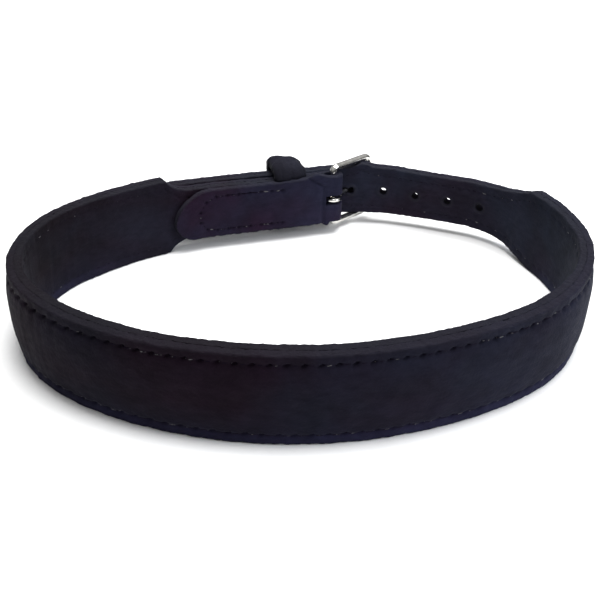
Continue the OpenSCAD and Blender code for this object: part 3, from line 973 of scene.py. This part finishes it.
def nubuck(name, warm, cool, nap=1.0):
    """Brushed leather: a very short nap, cloudy colour between a warm and a cool black, slightly worn
    corners and fibrous cut edges. Part of the photo's light is in the colour, by the place on the collar:
    the front is darker, more so at the left, and its lower part is bluer."""
    s = Shader(name)
    lie = s.add("ShaderNodeAttribute", attribute_name="lie").outputs["Vector"]
    cut_edge = s.add("ShaderNodeAttribute", attribute_name="cut").outputs["Fac"]
    solid = s.add("ShaderNodeTexCoord").outputs["Object"]
    brushed = s.stretch(lie, (0.5, 1.0, 1.0))
    regions = s.noise(solid, 24, 3, 0.5, 0.4)
    clouds = s.noise(solid, 95, 4, 0.55, 0.5)
    strokes = s.noise(brushed, 560, 5, 0.6, 0.3)
    grain = s.noise(solid, 1700, 5, 0.7)
    fibres = s.noise(s.stretch(solid, (1.0, 1.0, 0.3)), 2600, 4, 0.75)
    cells = s.add("ShaderNodeTexVoronoi", {"Vector": solid, "Scale": 1100.0}, feature="F1")
    pores = cells.outputs["Distance"]

    axes = s.add("ShaderNodeSeparateXYZ", {"Vector": solid}).outputs
    # Painted light: the tint turns cooler and lighter towards the right, as if lit by cool light from that
    # side; the regions noise adds tone at random.
    painted_cool_light_right = s.remap(axes["X"], -0.09, 0.09, 0.1, 0.9)
    tint = s.math("ADD", painted_cool_light_right, s.remap(regions, 0.35, 0.65, -0.42, 0.42))
    colour = s.mix(s.math("MINIMUM", s.math("MAXIMUM", tint, 0.0), 1.0), warm, cool)
    # Brightness: random clouds and nap strokes as the leather's own tone, times the painted shade and
    # painted floor light below.
    tone_and_painted_light = s.remap(clouds, 0.3, 0.7, 0.78, 1.16)
    tone_and_painted_light = s.math("MULTIPLY", tone_and_painted_light, s.remap(strokes, 0.3, 0.7, 0.86, 1.1))
    # Painted shade: the front is darker, more so at the left.
    front = s.remap(axes["X"], -0.07, 0.085, 0.35, 0.56)
    tone_and_painted_light = s.math("MULTIPLY", tone_and_painted_light, s.remap(axes["Y"], 0.0, 0.055, front, 1.0))
    height = s.add("ShaderNodeSeparateXYZ", {"Vector": lie}).outputs["Y"]
    at_front = s.remap(axes["Y"], 0.03, 0.0)
    # Painted light: the lowest few millimetres of the front are brightened, as if lit from the bright
    # floor.
    flange_painted_floor_light = s.math("MULTIPLY", s.remap(height, 0.0024, 0.0044, 1.15, 0.0), at_front)
    tone_and_painted_light = s.math("MULTIPLY", tone_and_painted_light, s.math("ADD", flange_painted_floor_light, 1.0))
    # Painted shade: on the front the fibres get darker copies of the fibre colour, darker still at the
    # left.
    fibre_painted_front_shade = s.mix(s.remap(axes["X"], -0.07, 0.085), FIBRE_PAINTED_SHADE_LEFT, FIBRE_PAINTED_SHADE_RIGHT)
    fibre = s.mix(s.remap(axes["Y"], -0.03, 0.04), fibre_painted_front_shade, FIBRE)
    lit_below = s.math("MULTIPLY", s.remap(height, 0.0140, 0.0020, 0.0, 0.85), at_front)
    colour = s.mix(lit_below, colour, FLOOR_LIT)
    grey = s.add("ShaderNodeCombineColor", {"Red": tone_and_painted_light, "Green": tone_and_painted_light, "Blue": tone_and_painted_light})
    colour = s.mix(1.0, colour, grey.outputs["Color"], "MULTIPLY")
    worn = s.add("ShaderNodeNewGeometry").outputs["Pointiness"]
    wear = s.math("MULTIPLY", s.remap(worn, 0.515, 0.58), s.remap(grain, 0.4, 0.65))
    colour = s.mix(s.math("MULTIPLY", wear, 0.45), colour, fibre)
    colour = s.mix(s.math("MULTIPLY", cut_edge, s.remap(fibres, 0.35, 0.7, 0.35, 0.95)), colour, fibre)
    s.put(s.bsdf.inputs["Base Color"], colour)
    s.put(s.bsdf.inputs["Roughness"], s.remap(strokes, 0.3, 0.7, 0.92, 0.78))
    s.put(s.bsdf.inputs["Specular IOR Level"], 0.08)
    s.put(s.bsdf.inputs["Sheen Weight"], s.remap(clouds, 0.3, 0.7, 0.006 * nap, 0.02 * nap))
    s.put(s.bsdf.inputs["Sheen Roughness"], 0.5)
    s.put(s.bsdf.inputs["Sheen Tint"], (0.6, 0.62, 0.85))

    relief = s.math("ADD", s.math("MULTIPLY", strokes, 0.35), s.math("MULTIPLY", grain, 0.4))
    relief = s.math("ADD", relief, s.math("MULTIPLY", pores, -0.3))
    relief = s.math("ADD", relief, s.math("MULTIPLY", s.math("MULTIPLY", fibres, cut_edge), 0.9))
    lumps = s.add("ShaderNodeBump", {"Strength": 0.35, "Distance": 0.0012, "Height": clouds})
    fine = s.add("ShaderNodeBump", {"Strength": 0.6, "Distance": 0.0004, "Height": relief,
                                    "Normal": lumps.outputs["Normal"]})
    s.put(s.bsdf.inputs["Normal"], fine.outputs["Normal"])
    return s.mat


def waxed_thread(name):
    """Dark thread that shines where a fleck of wax has stayed."""
    s = Shader(name)
    solid = s.add("ShaderNodeTexCoord").outputs["Object"]
    strands = s.noise(s.stretch(solid, (1.0, 1.0, 2.5)), 2400, 4, 0.6)
    wax = s.noise(solid, 620, 2, 0.5)
    s.put(s.bsdf.inputs["Base Color"], s.mix(s.remap(strands, 0.35, 0.7), (0.0024, 0.0012, 0.0040),
                                             (0.0074, 0.0046, 0.0118)))
    s.put(s.bsdf.inputs["Roughness"], s.remap(wax, 0.54, 0.64, 0.85, 0.28))
    s.put(s.bsdf.inputs["Specular IOR Level"], s.remap(wax, 0.56, 0.66, 0.03, 0.9))
    relief = s.add("ShaderNodeBump", {"Strength": 0.6, "Distance": 0.0002, "Height": strands})
    s.put(s.bsdf.inputs["Normal"], relief.outputs["Normal"])
    return s.mat


def nickel(name):
    """Polished plate with smudges, hairline scratches and duller spots."""
    s = Shader(name)
    solid = s.add("ShaderNodeTexCoord").outputs["Object"]
    smudge = s.noise(solid, 320, 4, 0.6)
    hairs = s.noise(s.stretch(solid, (1.0, 1.0, 9.0)), 900, 3, 0.7)
    s.put(s.bsdf.inputs["Metallic"], 1.0)
    bright, dull = (0.72, 0.71, 0.68), (0.5, 0.49, 0.46)
    s.put(s.bsdf.inputs["Base Color"], s.mix(s.remap(smudge, 0.35, 0.7), bright, dull))
    s.put(s.bsdf.inputs["Roughness"], s.remap(smudge, 0.3, 0.75, 0.06, 0.2))
    relief = s.add("ShaderNodeBump", {"Strength": 0.12, "Distance": 0.0001, "Height": hairs})
    s.put(s.bsdf.inputs["Normal"], relief.outputs["Normal"])
    return s.mat


def paper(name):
    """White paper. Far from the collar it glows for the camera alone, so that it meets the white
    background without a line."""
    s = Shader(name)
    solid = s.add("ShaderNodeTexCoord").outputs["Object"]
    tooth = s.noise(solid, 500, 3, 0.6)
    s.put(s.bsdf.inputs["Base Color"], s.mix(tooth, (0.86, 0.86, 0.86), (0.9, 0.9, 0.9)))
    s.put(s.bsdf.inputs["Roughness"], 0.9)
    far = s.add("ShaderNodeVectorMath", operation="LENGTH")
    s.put(far.inputs[0], solid)
    seen = s.add("ShaderNodeLightPath").outputs["Is Camera Ray"]
    s.put(s.bsdf.inputs["Emission Color"], (1.0, 1.0, 1.0))
    glow = s.remap(far.outputs["Value"], 0.2, 0.7)
    s.put(s.bsdf.inputs["Emission Strength"], s.math("MULTIPLY", seen, glow))
    return s.mat


def give(obj, mat):
    obj.data.materials.clear()
    obj.data.materials.append(mat)


# Build

outer_leather = nubuck("nubuck_outer", WARM, COOL)
keeper_leather = nubuck("nubuck_keeper", KEEPER_WARM, KEEPER_COOL)
inner_leather = nubuck("nubuck_inner", INNER_WARM, INNER_COOL, nap=0.8)
thread = waxed_thread("waxed_thread")
plate = nickel("nickel_plate")

lining = build_lining()
cover = build_cover()
cut(cover, [slot_cutter()], "slot_tool")
tongue_lining, tongue_cover = build_tongue()
for ply in (tongue_lining, tongue_cover):
    cut(ply, hole_cutters(), "hole_tool")
    cut(ply, [prong_cutter()], "prong_tool")
keeper = build_keeper()
prong = build_prong()
stitches = build_stitches()

for piece, leather in ((cover, outer_leather), (tongue_cover, outer_leather), (keeper, keeper_leather)):
    give(piece, leather)
for piece in (lining, tongue_lining):
    give(piece, inner_leather)
for piece in stitches.values():
    give(piece, thread)
give(frame["nodes"]["buckle_frame"], plate)
shade(frame["nodes"]["buckle_frame"], 40)
give(prong, plate)
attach(prong, "prong")
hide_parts("buckle_prong")

# The lining, the cover and their upper and lower stitches keep their places, with their transforms applied;
# the tongue's pieces are hung on the tongue arm, and the keeper and the turned end's stitches on the band.
for piece in (lining, cover, stitches["upper_stitches"], stitches["lower_stitches"]):
    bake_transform(piece)
for piece in (tongue_lining, tongue_cover, stitches["tongue_stitches"]):
    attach(piece, "tongue_arm")
for piece in (keeper, stitches["turnback_stitches"]):
    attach(piece, "band")

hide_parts("cover_buckle_side", "cover_tongue_side", "padding_buckle_side", "padding_tongue_side")
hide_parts("lining_buckle_side", "lining_tongue_side")
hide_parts("tongue_outer_ply")
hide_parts("tongue_inner_ply")
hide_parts("keeper")
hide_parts("upper_seam_buckle_side", "upper_seam_tongue_side")
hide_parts("lower_seam_buckle_side", "lower_seam_tongue_side")
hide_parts("tongue_seam")
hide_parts("turnback_seam")

# Stage

FLOOR_HALF = 3000.0
FLOOR_Z = -0.2
corners = [(x * FLOOR_HALF, y * FLOOR_HALF, FLOOR_Z) for x, y in ((-1, -1), (1, -1), (1, 1), (-1, 1))]
floor = new_object("floor", corners, [(0, 1, 2, 3)])
give(floor, paper("pale_paper"))

scene = bpy.context.scene
scene.view_settings.view_transform = "Standard"
world = bpy.data.worlds.new("studio")
scene.world = world
world.use_nodes = True
SKY_TOP, SKY_LOW = 0.62, 0.1
tree = world.node_tree
to_camera = tree.nodes.new("ShaderNodeLightPath").outputs["Is Camera Ray"]
direction = tree.nodes.new("ShaderNodeTexCoord").outputs["Generated"]
height = tree.nodes.new("ShaderNodeSeparateXYZ")
tree.links.new(direction, height.inputs["Vector"])
sky = tree.nodes.new("ShaderNodeMapRange")
for name, value in (("From Min", 0.05), ("From Max", 0.75), ("To Min", SKY_LOW), ("To Max", SKY_TOP)):
    sky.inputs[name].default_value = value
tree.links.new(height.outputs["Z"], sky.inputs["Value"])
seen = tree.nodes.new("ShaderNodeMix")
seen.inputs["B"].default_value = 1.0
tree.links.new(to_camera, seen.inputs["Factor"])
tree.links.new(sky.outputs["Result"], seen.inputs["A"])
background = tree.nodes["Background"]
background.inputs["Color"].default_value = (1, 1, 1, 1)
tree.links.new(seen.outputs["Result"], background.inputs["Strength"])


def area_light(name, place_mm, target_mm, size_mm, watts, colour=(1, 1, 1)):
    data = bpy.data.lights.new(name, "AREA")
    data.shape = "RECTANGLE"
    data.size, data.size_y = size_mm[0] * MM, size_mm[1] * MM
    data.energy = watts
    data.color = colour
    obj = bpy.data.objects.new(name, data)
    scene.collection.objects.link(obj)
    at = Vector(place_mm) * MM
    obj.location = at
    obj.rotation_euler = (Vector(target_mm) * MM - at).to_track_quat("-Z", "Y").to_euler()


area_light("overhead", (40, 60, 620), (0, 0, 10), (520, 420), 7.5)
area_light("window", (480, -160, 260), (20, 0, 15), (300, 240), 1.8, (0.9, 0.94, 1.0))

# Camera: the eye, its tilt down, its turn and its roll, and the focal length.
EYE = (5.58, -251.66, 155.66)
PITCH, YAW, ROLL = (math.radians(a) for a in (31.534, -1.718, -0.723))
cam_data = bpy.data.cameras.new("camera")
cam_data.lens = 49.76
cam_data.sensor_width = 36
cam_data.clip_start = 0.01
cam = bpy.data.objects.new("camera", cam_data)
scene.collection.objects.link(cam)
forward = Vector((math.sin(YAW) * math.cos(PITCH), math.cos(YAW) * math.cos(PITCH), -math.sin(PITCH)))
right0 = Vector((math.cos(YAW), -math.sin(YAW), 0))
up0 = Vector((math.sin(YAW) * math.sin(PITCH), math.cos(YAW) * math.sin(PITCH), math.cos(PITCH)))
right = right0 * math.cos(ROLL) - up0 * math.sin(ROLL)
up = right0 * math.sin(ROLL) + up0 * math.cos(ROLL)
turned = Matrix((right, up, -forward)).transposed().to_4x4()
turned.translation = Vector(EYE) * MM
cam.matrix_world = turned
scene.camera = cam
